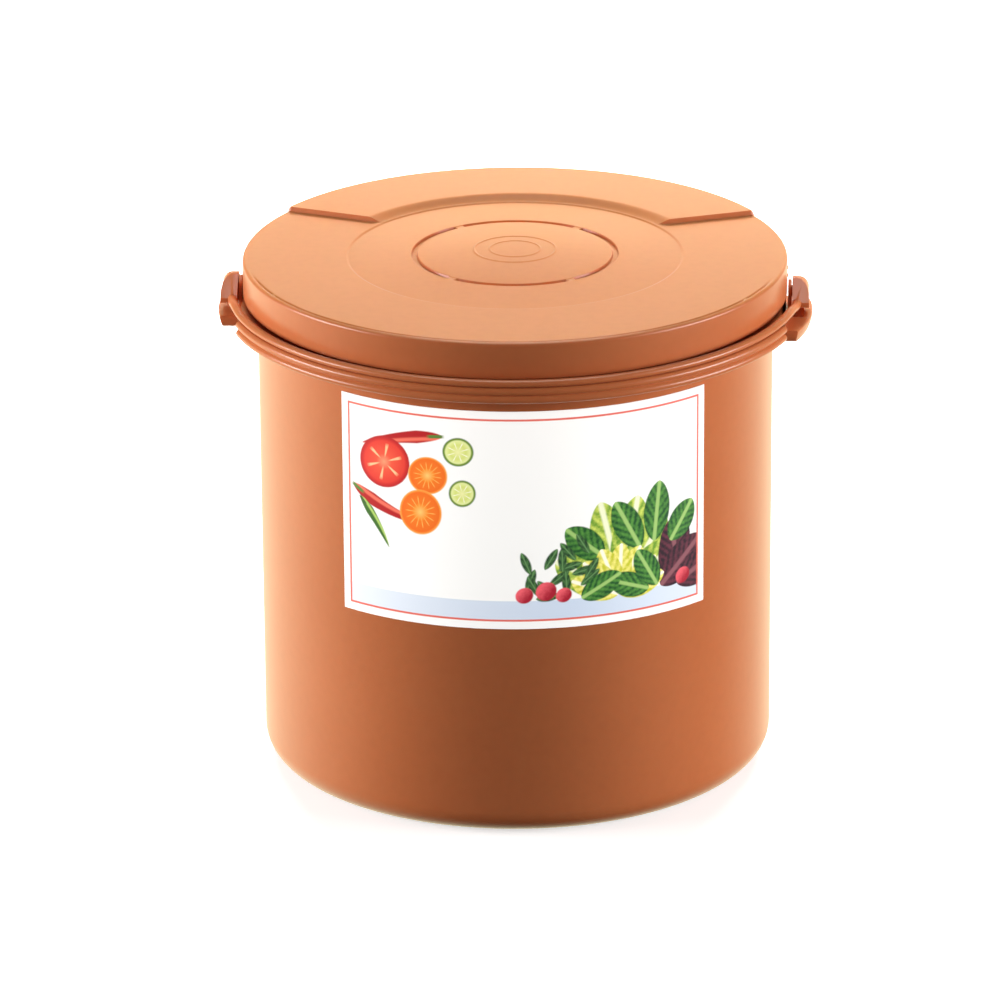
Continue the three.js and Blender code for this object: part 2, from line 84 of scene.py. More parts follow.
scene = bpy.context.scene
lens = bpy.data.cameras.new("camera")
lens.sensor_fit = "HORIZONTAL"
lens.sensor_width = SENSOR
lens.lens = LENS
lens.clip_end = 30.0
camera = bpy.data.objects.new("camera", lens)
scene.collection.objects.link(camera)
camera.matrix_world = (
    Matrix.Translation((
        CAMERA_DISTANCE * math.sin(CAMERA_TURN),
        -CAMERA_DISTANCE * math.cos(CAMERA_TURN),
        CAMERA_HEIGHT,
    ))
    @ Matrix.Rotation(CAMERA_TURN + CAMERA_PAN, 4, "Z")
    @ Matrix.Rotation(math.pi / 2 - CAMERA_DROP, 4, "X")
    @ Matrix.Rotation(CAMERA_ROLL, 4, "Z")
)
scene.camera = camera
scene.view_settings.view_transform = "Standard"
print("camera at", [round(v, 3) for v in camera.matrix_world.translation])

# %% [markdown]
# ## Shader maths
# A finish is a sum of small patterns, and sums are easier to read as Python than as wires. One class wraps
# a socket, so that `0.4 + 0.1 * cloud` adds the Math nodes by itself. Every other node comes from `node`,
# which takes the node's type, what goes into its sockets and then its settings.


# %% A socket that can be used in sums
class Signal:
    """One socket of a node tree, for use in Python expressions."""

    def __init__(self, tree, socket=None):
        self.tree = tree
        self.socket = socket

    def node(self, kind, sockets=None, output=0, **settings):
        made = self.tree.nodes.new("ShaderNode" + kind)
        for name, value in settings.items():
            if name == "stops":
                fill_ramp(made.color_ramp, value)
            else:
                setattr(made, name, value)
        for key, value in (sockets or {}).items():
            if isinstance(value, Signal):
                self.tree.links.new(value.socket, made.inputs[key])
            else:
                made.inputs[key].default_value = value
        return Signal(self.tree, made.outputs[output])

    def math(self, operation, *values, clamp=False):
        return self.node("Math", dict(enumerate(values)), operation=operation, use_clamp=clamp)

    def __add__(self, other):
        return self.math("ADD", self, other)

    __radd__ = __add__

    def __sub__(self, other):
        return self.math("SUBTRACT", self, other)

    def __rsub__(self, other):
        return self.math("SUBTRACT", other, self)

    def __mul__(self, other):
        return self.math("MULTIPLY", self, other)

    __rmul__ = __mul__

    def __truediv__(self, other):
        return self.math("DIVIDE", self, other)

    def __pow__(self, other):
        return self.math("POWER", self, other)

    def __abs__(self):
        return self.math("ABSOLUTE", self)

    def line(self, slope, start):
        """slope times this signal plus start."""
        return self.math("MULTIPLY_ADD", self, slope, start)

    def above(self, edge, soft):
        """0 below an edge and 1 above it, with a soft step of that width."""
        return self.math("MULTIPLY_ADD", self, 1 / soft, 0.5 - edge / soft, clamp=True)

    def mixed(self, low, high):
        """A colour that goes from low to high as this signal goes from 0 to 1."""
        return self.node("Mix", {0: self, 6: low, 7: high}, 2, data_type="RGBA")


def fill_ramp(ramp, stops):
    """Sets a colour ramp's stops from (place, colour) pairs."""
    while len(ramp.elements) < len(stops):
        ramp.elements.new(0.5)
    for element, (place, colour) in zip(ramp.elements, stops):
        element.position = place
        element.color = colour


def srgb(red, green, blue):
    """A screen colour from 0 to 255 as the linear colour that a node takes."""
    shares = [value / 255 for value in (red, green, blue)]
    linear = [s / 12.92 if s <= 0.04045 else ((s + 0.055) / 1.055) ** 2.4 for s in shares]
    return (*linear, 1.0)


def new_finish(name):
    """An empty material: the material, a signal to start from, and its shader."""
    material = bpy.data.materials.new(name)
    material.use_nodes = True
    tree = material.node_tree
    tree.nodes.clear()
    shader = tree.nodes.new("ShaderNodeBsdfPrincipled")
    output = tree.nodes.new("ShaderNodeOutputMaterial")
    tree.links.new(shader.outputs["BSDF"], output.inputs["Surface"])
    return material, Signal(tree), shader


def dress(shader, **values):
    """Sets or links a shader's sockets, named in small letters with underscores."""
    names = {name.lower().replace(" ", "_"): name for name in shader.inputs.keys()}
    for key, value in values.items():
        socket = shader.inputs[names[key]]
        if isinstance(value, Signal):
            value.tree.links.new(value.socket, socket)
        else:
            socket.default_value = value


def noise(start, scale, detail):
    """Noise over the object, with so many waves to the metre."""
    place = start.node("TexCoord", output="Object")
    return start.node("TexNoise", {"Vector": place, "Scale": scale, "Detail": detail})


print("signals ready")

# %% [markdown]
# ## Studio
# The photograph has a white sweep, two broad soft boxes low at the left and right, one behind the lid, and
# nothing bright beside the camera. So the tub's front is dark, its flanks glow, and every step of the lid
# that looks to the front is drawn as a dark line. The floor adds light only for the lens: it reads white and
# still holds the shadow. Reflections look past it to the world, which is bright behind the tub and dark on
# the camera's side. Two cards that only reflections see put the sheen on the lid's back and on the edges.

# %% World, floor and lamps
AIM = Vector((0.0, 0.0, 0.16))
FILL_LEVEL = 0.10
FLOOR_HALF = 6.0
FLOOR_GLOW = 0.62
FLOOR_SHEEN = 1.8
BACKDROP_SHEEN = 0.1
SHEEN_TINT = (1.0, 0.97, 0.68, 1.0)
WHITE = (1.0, 1.0, 1.0, 1.0)
FLOOR_SEEN = srgb(236, 234, 231)
FLOOR_BOUNCE = srgb(118, 116, 114)
FLOOR_DROP = 0.0003
SHEEN_LEAN = 0.4
SHEEN_EDGE = (0.3, 0.9)
HORIZON = (-0.05, 0.1)
# Turn, rise, distance, size and level of each soft box or card.
LEFT_BOX = (-80, 10, 2.2, (1.3, 0.7), 1.09)
RIGHT_BOX = (80, 10, 2.2, (1.3, 0.7), 0.97)
BACK_BOX = (180, 27, 1.8, (1.6, 0.5), 2.55)
TOP_CARD = (180, 85, 0.95, (0.7, 0.7), 0.6)
BACK_CARD = (167, 24.7, 0.473, (0.7, 0.08), 0.11)


def light_path(start, *kinds):
    """1 for rays of any of these kinds."""
    total = 0.0
    for kind in kinds:
        total = start.node("LightPath", output=kind) + total
    return total


def make_world():
    world = bpy.data.worlds.new("studio")
    world.use_nodes = True
    tree = world.node_tree
    tree.nodes.clear()
    start = Signal(tree)
    towards = start.node("TexCoord", output="Generated")
    x, y, z = (start.node("SeparateXYZ", {0: towards}, output=axis) for axis in "XYZ")
    behind = (y - SHEEN_LEAN * x).above(*SHEEN_EDGE)
    lens_ray = light_path(start, "Is Camera Ray", "Is Transmission Ray")
    gloss_ray = light_path(start, "Is Glossy Ray")
    sheen = behind * z.above(*HORIZON).line(BACKDROP_SHEEN - FLOOR_SHEEN, FLOOR_SHEEN)
    level = lens_ray + (1 - lens_ray) * (gloss_ray * sheen + FILL_LEVEL * (1 - gloss_ray))
    background = start.node("Background", {0: gloss_ray.mixed(WHITE, SHEEN_TINT), 1: level})
    output = tree.nodes.new("ShaderNodeOutputWorld")
    tree.links.new(background.socket, output.inputs["Surface"])
    scene.world = world


def make_floor():
    mesh = bpy.data.meshes.new("floor")
    corners = [(-1, -1), (1, -1), (1, 1), (-1, 1)]
    points = [(FLOOR_HALF * x, FLOOR_HALF * y, -FLOOR_DROP) for x, y in corners]
    mesh.from_pydata(points, [], [(0, 1, 2, 3)])
    floor = bpy.data.objects.new("floor", mesh)
    scene.collection.objects.link(floor)
    material, start, shader = new_finish("floor_paper")
    lens_ray = light_path(start, "Is Camera Ray", "Is Transmission Ray")
    tint = lens_ray.mixed(FLOOR_BOUNCE, FLOOR_SEEN)
    glow = lens_ray * FLOOR_GLOW
    light = start.node("CombineColor", {0: glow, 1: glow, 2: glow})
    dress(shader, base_color=tint, roughness=0.9, specular_ior_level=0.0)
    dress(shader, emission_color=light, emission_strength=1.0)
    mesh.materials.append(material)
    floor.visible_glossy = False


def lamp(name, turn, rise, away, size, level):
    """A soft box: turn from the front towards +X and rise, in degrees; level is the white it gives."""
    light = bpy.data.lights.new(name, "AREA")
    light.shape = "RECTANGLE"
    light.size, light.size_y = size
    light.energy = level * (math.pi * away) ** 2
    box = bpy.data.objects.new(name, light)
    scene.collection.objects.link(box)
    flat = away * math.cos(math.radians(rise))
    box.location = AIM + Vector((
        flat * math.sin(math.radians(turn)),
        -flat * math.cos(math.radians(turn)),
        away * math.sin(math.radians(rise)),
    ))
    box.visible_camera = False
    box.rotation_euler = (AIM - box.location).to_track_quat("-Z", "Y").to_euler()
    return box


make_world()
make_floor()
lamp("left_soft_box", *LEFT_BOX)
lamp("right_soft_box", *RIGHT_BOX)
lamp("back_soft_box", *BACK_BOX).visible_glossy = False
lamp("top_card", *TOP_CARD).visible_diffuse = False
back_card = lamp("back_card", *BACK_CARD)
back_card.visible_diffuse = False
back_card.data.color = SHEEN_TINT[:3]

# %% [markdown]
# ## Terracotta plastic
# The tub, lid and bail are injection-moulded polypropylene, tinted like fired clay. It isn't one flat
# colour: the pigment clouds a little and faint darker flecks of clay show close up. Noise at two scales
# gives that without any picture. Faces that look up are painted a shade paler as well, painted light for
# the light from above, and the object's own normal tells which faces look up. The clouds also change the
# gloss, though never so far that the render's denoiser takes the plastic for a mirror and leaves patches.
# Light enters the plastic a little way, so thin edges and gaps glow.

# %% Terracotta plastic
CLAY_DEEP = srgb(208, 117, 70)
CLAY_WARM = srgb(214, 123, 75)
# Painted light: the paler colour that faces looking up are mixed towards, standing in for light from above.
CLAY_TOP_LIGHT = srgb(224, 150, 94)
CLAY_FLECK = srgb(150, 78, 42)
FLECK_STRENGTH = 0.05


def terracotta_plastic(name, top_light):
    material, start, shader = new_finish(name)
    cloud = noise(start, 11.0, 3.0)
    fleck = noise(start, 240.0, 0.0)
    tone = cloud.above(0.5, 0.5).mixed(CLAY_DEEP, CLAY_WARM)
    # Painted light: the more a face looks up, the more it takes the paler colour.
    normal = start.node("TexCoord", output="Normal")
    upward = start.node("SeparateXYZ", {0: normal}, output="Z").above(0.75, 0.5)
    top_lit_colour = (upward * top_light).mixed(tone, CLAY_TOP_LIGHT)
    colour = (fleck.above(0.6, 0.5) * FLECK_STRENGTH).mixed(top_lit_colour, CLAY_FLECK)
    dress(
        shader,
        base_color=colour,
        roughness=0.28 + 0.03 * cloud,
        ior=1.49,
        subsurface_weight=0.2,
        subsurface_radius=(1.0, 0.4, 0.2),
        subsurface_scale=0.004,
    )
    return material


# The tub and bail take a little of the painted top light, the lid most of it.
TERRACOTTA = terracotta_plastic("terracotta_plastic", 0.3)
TOP_LIT_TERRACOTTA = terracotta_plastic("top_lit_terracotta", 0.85)
print("terracotta nodes:", len(TERRACOTTA.node_tree.nodes))

# %% [markdown]
# ## Turned and pushed shapes
# Almost every part here came from a round mould, so its shape is a profile turned about the axis. Blender
# has a Screw modifier for that, but a few lines of code give the points directly and let a profile be
# written as corners with a fillet radius each, the way a draughtsman dimensions it.

# %% Profiles, turned bodies and pushed outlines
COLUMNS = 256
SHARP = math.radians(34)
MERGE = 1e-6
HALF_TURN = Matrix.Rotation(math.pi, 4, "Z")
MIRROR = Matrix.Diagonal((-1, 1, 1, 1))


def smooth(value):
    """A soft step from 0 to 1 as the value goes from 0 to 1."""
    t = np.clip(value, 0, 1)
    return t * t * (3 - 2 * t)


def arc(radius, centre_r, centre_z, start, end, steps=8):
    """Points of an arc in the profile plane, between two angles in degrees."""
    angles = np.radians(np.linspace(start, end, steps + 1))
    return [(centre_r + radius * math.cos(a), centre_z + radius * math.sin(a)) for a in angles]


def rounded(corners, closed=False, steps=5):
    """A profile from corners (r, z) or (r, z, fillet)."""
    points = []
    for i, corner in enumerate(corners):
        here = np.array(corner[:2], float)
        end = not closed and i in (0, len(corners) - 1)
        if end or len(corner) == 2:
            points.append(tuple(here))
            continue
        back = np.array(corners[i - 1][:2], float) - here
        onward = np.array(corners[(i + 1) % len(corners)][:2], float) - here
        back_length, onward_length = np.linalg.norm(back), np.linalg.norm(onward)
        back, onward = back / back_length, onward / onward_length
        half = math.acos(np.clip(back @ onward, -1, 1)) / 2
        reach = min(corner[2] / math.tan(half), 0.49 * back_length, 0.49 * onward_length)
        radius = reach * math.tan(half)
        middle = (back + onward) / np.linalg.norm(back + onward)
        centre = here + middle * radius / math.sin(half)
        first = here + back * reach - centre
        last = here + onward * reach - centre
        from_angle = math.atan2(first[1], first[0])
        sweep = (math.atan2(last[1], last[0]) - from_angle + math.pi) % (2 * math.pi) - math.pi
        for k in range(steps + 1):
            angle = from_angle + sweep * k / steps
            points.append((centre[0] + radius * math.cos(angle), centre[1] + radius * math.sin(angle)))
    return points


def new_piece(name, points, faces):
    """A mesh object from points in millimetres, with faces turned outwards and smooth shading."""
    mesh = bpy.data.meshes.new(name)
    mesh.from_pydata((np.asarray(points, float) * MM).tolist(), [], faces)
    piece = bpy.data.objects.new(name, mesh)
    scene.collection.objects.link(piece)
    tidy(piece)
    return piece


def tidy(piece):
    """Merges points that coincide, turns the faces outwards and shades smooth between sharp edges."""
    work = bmesh.new()
    work.from_mesh(piece.data)
    bmesh.ops.remove_doubles(work, verts=work.verts, dist=MERGE)
    bmesh.ops.recalc_face_normals(work, faces=work.faces)
    work.to_mesh(piece.data)
    work.free()
    piece.data.shade_smooth()
    piece.data.set_sharp_from_angle(angle=SHARP)


def grid_faces(rows, columns, wrap_rows=False, wrap_columns=True):
    """Quads between neighbouring points of a grid, numbered row by row."""
    row_ends = rows if wrap_rows else rows - 1
    column_ends = columns if wrap_columns else columns - 1
    faces = []
    for i in range(row_ends):
        low, high = i * columns, (i + 1) % rows * columns
        for j in range(column_ends):
            k = (j + 1) % columns
            faces.append((low + j, low + k, high + k, high + j))
    return faces


def turned(name, profile, closed=False, columns=COLUMNS):
    """A profile turned about Z."""
    angles = np.linspace(0, 2 * math.pi, columns, endpoint=False)
    reach, height = np.array(profile).T
    points = np.stack([
        np.outer(reach, np.sin(angles)),
        np.outer(reach, -np.cos(angles)),
        np.outer(height, np.ones(columns)),
    ], axis=-1).reshape(-1, 3)
    return new_piece(name, points, grid_faces(len(profile), columns, closed))


def pushed(name, outline, low, high, axis):
    """A closed outline pushed along an axis: (y, z) along X, (x, z) along Y, or (x, y) along Z."""
    count = len(outline)
    points = []
    for depth in (low, high):
        for a, b in outline:
            points.append({"X": (depth, a, b), "Y": (a, depth, b), "Z": (a, b, depth)}[axis])
    faces = grid_faces(2, count)
    faces.append(tuple(range(count)))
    faces.append(tuple(reversed(range(count, 2 * count))))
    return new_piece(name, points, faces)


def settle(piece):
    """Applies a piece's modifiers to its mesh."""
    graph = bpy.context.evaluated_depsgraph_get()
    mesh = bpy.data.meshes.new_from_object(piece.evaluated_get(graph))
    piece.modifiers.clear()
    piece.data = mesh
    tidy(piece)


def softened(piece, width, segments=3):
    """Rounds a piece's sharp edges to a small radius, in millimetres."""
    bevel = piece.modifiers.new("soft edges", "BEVEL")
    bevel.width = width * MM
    bevel.segments = segments
    bevel.limit_method = "ANGLE"
    bevel.angle_limit = math.radians(40)
    settle(piece)
    return piece


def combined(piece, other, operation):
    """Joins another piece to this one (UNION), cuts it out (DIFFERENCE) or keeps what they share."""
    boolean = piece.modifiers.new(operation, "BOOLEAN")
    boolean.operation = operation
    boolean.solver = "EXACT"
    boolean.object = other
    bpy.context.view_layer.update()
    settle(piece)
    bpy.data.objects.remove(other)
    return piece


def copied(piece, matrix):
    """A copy of a piece, moved by a matrix."""
    copy = piece.copy()
    copy.data = piece.data.copy()
    copy.data.transform(matrix)
    scene.collection.objects.link(copy)
    return copy


def seat(piece, node, material):
    """Gives a finished piece its material, its body and the solid that it stands for."""
    piece.name = "dressed_" + node
    piece.data.materials.clear()
    piece.data.materials.append(material)
    body = next(b for b, nodes in frame["record"]["behaviour"]["bodies"].items() if node in nodes)
    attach(piece, body)
    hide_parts(node)
    points = np.array([v.co for v in piece.data.vertices]) / MM
    low, high = node_box(node)
    drift = max(np.abs(points.min(0) - low).max(), np.abs(points.max(0) - high).max())
    print(f"{piece.name}: {len(piece.data.polygons)} faces, box within {drift:.2f} mm of its solid")


print("shape tools ready")

# %% [markdown]
# ## Tub
# The tub is one moulding: a wall that draws in a hair towards the base, a rounded foot, and below the rim a
# flange whose edge carries two beads. The whole wall is one profile. Only the flange's gaps and the lugs
# aren't round, so those are cut and joined afterwards with exact booleans.

# %% Tub shell
BODY_RADIUS = 132.7
BODY_TAPER = 0.3
WALL = 2.6
FLOOR_TOP = 5.2
BASE_FILLET = 14.0
FOOT_RISE = 2.0
FOOT_WIDTH = 9.0
NECK_HEIGHT = 16.0
FLANGE_RADIUS = 149.0
FLANGE_PLATE = 2.6
BEAD = 2.0
BEAD_PITCH = 4.3
BEAD_SWEEP = 74

rim_height = node_box("tub")[1][2]
lid_radius = node_box("outer_lid")[1][0]
flange_top = rim_height - NECK_HEIGHT
flange_bottom = flange_top - 2 * BEAD - BEAD_PITCH
base_radius = BODY_RADIUS - BODY_TAPER
bore_radius = BODY_RADIUS - WALL


def wall_at(height):
    """Outer radius of the wall at a height."""
    return BODY_RADIUS - BODY_TAPER * (1 - height / flange_top)


def tub_shell():
    foot_outside = base_radius - BASE_FILLET
    foot_inside = foot_outside - FOOT_WIDTH
    bead_centre = FLANGE_RADIUS - BEAD
    upper_bead = flange_top - BEAD
    lower_bead = upper_bead - BEAD_PITCH
    under_plate = flange_top - FLANGE_PLATE
    lip = WALL / 2
    return turned("tub_shell", rounded([
        (0, FOOT_RISE),
        (foot_inside - FOOT_RISE, FOOT_RISE, 1.2),
        (foot_inside, 0, 0.8),
        (foot_outside, 0),
        *arc(BASE_FILLET, foot_outside, BASE_FILLET, -85, 0, 14),
        (wall_at(under_plate), under_plate, 1.2),
        (bead_centre - BEAD, under_plate, 0.8),
        (bead_centre - BEAD, lower_bead - BEAD, 0.5),
        *arc(BEAD, bead_centre, lower_bead, -80, BEAD_SWEEP, 12),
        *arc(BEAD, bead_centre, upper_bead, -BEAD_SWEEP, 90, 12),
        (BODY_RADIUS, flange_top, 1.4),
        *arc(lip, BODY_RADIUS - lip, rim_height - lip, 0, 180, 10),
        (bore_radius, flange_top),
        *arc(BASE_FILLET - WALL, foot_outside, FLOOR_TOP + BASE_FILLET - WALL, 0, -90, 12),
        (0, FLOOR_TOP),
    ]))


shell = tub_shell()
print("shell faces:", len(shell.data.polygons))

# %% [markdown]
# ## Lugs
# At each side the flange has a gap, and a lug stands in it: a ledge with an opening under the bail's hub, a
# riser that closes the flange, and a cheek with the bore for the bail's pin. Both lugs are one shape, turned
# half round, so the long end of the ledge lies in front on the right and behind on the left. A pushed slab
# cut with a turned disc gets its round edge and keeps square ends, as the mould's slides leave them.

# %% Lugs
LUG_FRONT = 36.0
LUG_BACK = 20.0
LUG_GAP = 50.0
LUG_BULGE = 90.0
LUG_DOME = 14.0
LUG_CORNER = 3.5
LUG_SLAB = 6.6
LUG_SHELL = 2.4
LEDGE_DROP = 7.3
OPENING_FRONT = 14.0
OPENING_BACK = 3.0
OPENING_RIM = 4.4
RISER_INSET = 0.6
CHEEK_CLEARANCE = 0.4
CHEEK_THICKNESS = 1.9
CHEEK_HALF_WIDTH = 10.0
CHEEK_EYE = 6.0
SEAT_GAP = 0.3
PIN_RADIUS = 2.9
PIN_BORE = 3.3

pivot_height = next(j for j in frame["joints"] if j["name"] == "bail_swing")["pos_m"][2] / MM
lug_reach = node_box("tub")[1][0]
riser_outside = lid_radius - RISER_INSET
cheek_inside = lid_radius + CHEEK_CLEARANCE
cheek_outside = cheek_inside + CHEEK_THICKNESS
hub_inside = cheek_outside + SEAT_GAP
hub_outside = node_box("carry_bail")[1][0]
ledge_top = flange_top - LEDGE_DROP
slab_bottom = ledge_top - LUG_SLAB


def box_outline(low, high, fillet):
    """A rectangle with rounded corners between two corners."""
    (x0, y0), (x1, y1) = low, high
    return rounded([(x0, y0, fillet), (x1, y0, fillet), (x1, y1, fillet), (x0, y1, fillet)], closed=True)


def along_x(piece, x):
    """Lays a shape that was turned about Z along X at the pivot's height, moved along by x millimetres."""
    piece.data.transform(Matrix.Rotation(math.pi / 2, 4, "Y"))
    piece.data.transform(Matrix.Translation(Vector((x, 0, pivot_height)) * MM))
    return piece


def lug_ledge():
    above, below = ledge_top + LUG_SHELL, slab_bottom - LUG_SHELL
    slab = pushed("lug_ledge", rounded([
        (-LUG_FRONT, slab_bottom, LUG_CORNER), (LUG_BACK, slab_bottom, LUG_CORNER),
        (LUG_BACK, above), (-LUG_FRONT, above),
    ], closed=True), bore_radius + WALL / 2, lug_reach + WALL, "X")
    dome = arc(LUG_DOME, LUG_BULGE - LUG_DOME, ledge_top, -40, -6, 10)
    profile = rounded([(0, dome[0][1]), *dome, (LUG_BULGE, ledge_top, 0.9), (0, ledge_top)])
    disc = turned("lug_disc", profile, columns=360)
    disc.data.transform(Matrix.Translation(((lug_reach - LUG_BULGE) * MM, 0, 0)))
    combined(slab, disc, "INTERSECT")
    opening = box_outline((hub_inside, -OPENING_FRONT), (lug_reach - OPENING_RIM, OPENING_BACK), 1.6)
    combined(slab, pushed("opening", opening, below, above, "Z"), "DIFFERENCE")
    return softened(slab, 0.7)


def lug_cheek():
    foot = ledge_top - LUG_SHELL
    eye = arc(CHEEK_EYE, 0, pivot_height, 24, 156, 20)
    outline = [(-CHEEK_HALF_WIDTH, foot), (CHEEK_HALF_WIDTH, foot), *eye]
    return softened(pushed("lug_cheek", outline, cheek_inside, cheek_outside, "X"), 0.3)


def lug_riser():
    inside = riser_outside - CHEEK_THICKNESS
    return pushed("lug_riser", [
        (inside, -LUG_GAP), (riser_outside, -LUG_GAP), (riser_outside, LUG_GAP), (inside, LUG_GAP),
    ], flange_bottom, flange_top, "Z")


def make_lug():
    lug = combined(combined(lug_ledge(), lug_riser(), "UNION"), lug_cheek(), "UNION")
    half = CHEEK_THICKNESS
    bore = turned("pin_bore", [(0, -half), (PIN_BORE, -half), (PIN_BORE, half), (0, half)], columns=48)
    combined(lug, along_x(bore, (cheek_inside + cheek_outside) / 2), "DIFFERENCE")
    front = (LUG_SHELL - LUG_FRONT, -LUG_SHELL - OPENING_FRONT)
    back = (OPENING_BACK + LUG_SHELL, LUG_BACK - LUG_SHELL)
    for near, far in (front, back):
        hollow = box_outline((wall_at(slab_bottom) + LUG_SHELL, near), (hub_inside, far), 1.5)
        low, high = slab_bottom - LUG_SHELL, ledge_top - LUG_SHELL
        combined(lug, pushed("hollow", hollow, low, high, "Z"), "DIFFERENCE")
    return lug


def make_tub():
    lug = make_lug()
    side = box_outline((riser_outside, -LUG_GAP), (lug_reach + WALL, LUG_GAP), 0.6)
    gap = pushed("flange_gap", side, flange_bottom - LUG_SHELL, flange_top + BEAD, "Z")
    for cutter in (copied(gap, HALF_TURN), gap):
        combined(shell, cutter, "DIFFERENCE")
    for added in (copied(lug, HALF_TURN), lug):
        combined(shell, added, "UNION")
    seat(shell, "tub", TERRACOTTA)


make_tub()

# %% [markdown]
# ## Carrying bail
# The bail is a slim bar, oval in section, bent to half an oval. At each end it dips and runs into a hub:
# round below, domed outside, with a slanting face in front for the thumb. A pin points from the hub into the
# cheek. A curve with a bevel would give the bar, but its ends would stay open, so the section is swept point
# by point. The hub is where two pushed outlines meet, one seen from the side and one from the front.

# %% Carrying bail
BAIL_HEIGHT = 3.8
BAIL_DEPTH = 4.6
BAIL_FRONT = 146.8
BAIL_SIDE = 145.6
BAIL_DIP = 2.4
BAIL_DIP_START = 34.0
BAIL_DIP_END = 16.0
BAIL_STEPS = 220
OVAL_POINTS = 24
HUB_RADIUS = 8.0
HUB_RISE = 6.8
HUB_BACK = 4.5
HUB_NOSE = 14.0
HUB_NOSE_DROP = 2.0
HUB_NOSE_THICKNESS = 2.6
HUB_DOME = 6.2
PIN_LENGTH = 1.8


def bail_bar():
    buried = math.asin(HUB_RADIUS / 2 / BAIL_FRONT)
    turns = np.linspace(buried - math.pi / 2, math.pi / 2 - buried, BAIL_STEPS)
    ovals = np.linspace(0, 2 * math.pi, OVAL_POINTS, endpoint=False)
    depths = BAIL_DEPTH / 2 * np.cos(ovals)
    heights = pivot_height + BAIL_HEIGHT / 2 * np.sin(ovals)
    ahead = BAIL_FRONT * np.cos(turns)
    dips = BAIL_DIP * (1 - smooth((ahead - BAIL_DIP_END) / (BAIL_DIP_START - BAIL_DIP_END)))
    points = [
        ((BAIL_SIDE + depth) * math.sin(turn), -(BAIL_FRONT + depth) * math.cos(turn), height - dip)
        for turn, dip in zip(turns, dips) for depth, height in zip(depths, heights)
    ]
    faces = grid_faces(BAIL_STEPS, OVAL_POINTS)
    faces.append(tuple(range(OVAL_POINTS)))
    faces.append(tuple(reversed(range((BAIL_STEPS - 1) * OVAL_POINTS, BAIL_STEPS * OVAL_POINTS))))
    return new_piece("bail_bar", points, faces)


def hub():
    from_side = rounded([
        (HUB_BACK, HUB_RISE, 1.2), (0, HUB_RISE, 1.2), (-HUB_NOSE, -HUB_NOSE_DROP, 0.6),
        (-HUB_NOSE, -HUB_NOSE_DROP - HUB_NOSE_THICKNESS, 0.8), *arc(HUB_RADIUS, 0, 0, 225, 360, 18),
    ], closed=True)
    body = pushed("hub", from_side, hub_inside, hub_outside + 1, "X")
    angles = np.linspace(0, math.pi / 2, 13)
    dome = [(hub_outside - HUB_DOME * (1 - math.cos(a)), (HUB_RISE + MM) * math.sin(a)) for a in angles]
    inner, low = hub_inside - 1, -HUB_RADIUS - 1
    from_front = [(inner, low), (hub_outside, low), *dome, (inner, dome[-1][1])]
    combined(body, pushed("hub_front", from_front, -2 * HUB_NOSE, 2 * HUB_NOSE, "Y"), "INTERSECT")
    softened(body, 0.7)
    body.data.transform(Matrix.Translation((0, 0, pivot_height * MM)))
    pin = turned("pin", rounded([
        (0, -PIN_LENGTH), (PIN_RADIUS, -PIN_LENGTH, 0.4), (PIN_RADIUS, PIN_LENGTH), (0, PIN_LENGTH),
    ]), columns=48)
    return combined(body, along_x(pin, hub_inside), "UNION")


def make_bail():
    bail = bail_bar()
    right = hub()
    left = copied(right, MIRROR)
    tidy(left)
    combined(combined(bail, right, "UNION"), left, "UNION")
    seat(bail, "carry_bail", TERRACOTTA)


make_bail()

# %% [markdown]
# ## Outer lid
# The lid's top isn't a plain turned shape. Its back third stands a step higher, a sunken disc fills the
# middle, and a ring groove with four bridges runs round the crown. So the top is a height map on a polar
# grid. The grid's columns bend to follow the two step lines, which keeps those steps crisp with few points.
# The same map holds two plain rings on the crown and a fine line inside the front edge.

# %% Outer lid's relief
LID_WALL = 2.4
SKIRT_INSIDE = 137.6
SKIRT_GAP = 1.9
LID_EDGE = 1.6
PLUG_RADIUS = 129.6
PLUG_DEPTH = 10.0
DISC_RADIUS = 85.5
DISC_DROP = 0.5
DISC_BEVEL = 1.4
CROWN_RISE = 1.3
CROWN_DOME = 2.2
GROOVE_RADIUS = 51.6
GROOVE_WIDTH = 3.6
GROOVE_DEPTH = 1.3
GROOVE_SOFT = 0.7
BRIDGE_WIDTH = 5.0
BRIDGE_SINK = 0.2
BRIDGE_ANGLE = math.radians(36)
SECTOR_RISE = 2.3
SECTOR_SLOPE = 8.0
SECTOR_APEX = 23.0
SECTOR_ANGLE = math.radians(20.4)
STEP_WIDTH = 0.6
BOSS_RINGS = ((21.0, 0.9), (13.0, 0.7))
BOSS_RISE = 0.35
RIM_LINE_INSET = 2.7
RIM_LINE_WIDTH = 1.1
RIM_LINE_DEPTH = 0.5
RIM_LINE_END = math.radians(76)
RIM_LINE_FADE = 8.0
RIM_LINE_BREAK = math.radians(60)

HALF_COLUMNS = 300
STEP_COLUMNS = (198, 203)
lid_top = node_box("outer_lid")[1][2] - SECTOR_RISE
lid_underside = lid_top - LID_WALL


def step_angle(reach):
    """Angle from the front at which the raised sector starts, at a radius."""
    slope = math.tan(SECTOR_ANGLE)
    r = np.maximum(reach, 2 * SECTOR_APEX)
    root = np.sqrt(r * r * (1 + slope * slope) - SECTOR_APEX ** 2)
    x = (root - SECTOR_APEX * slope) / (1 + slope * slope)
    return math.pi - np.arctan2(x, SECTOR_APEX + slope * x)


def lid_angles(reach):
    """The grid's column angles at a radius, packed along the two step lines."""
    first, last = STEP_COLUMNS
    middle = step_angle(reach)
    half_step = STEP_WIDTH / 2 / max(reach, 2 * SECTOR_APEX)
    knots = [0, first, last, HALF_COLUMNS]
    angles = [0, middle - half_step, middle + half_step, math.pi]
    half = np.interp(np.arange(HALF_COLUMNS + 1), knots, angles)
    return np.concatenate([-half[:0:-1], half[:-1]])


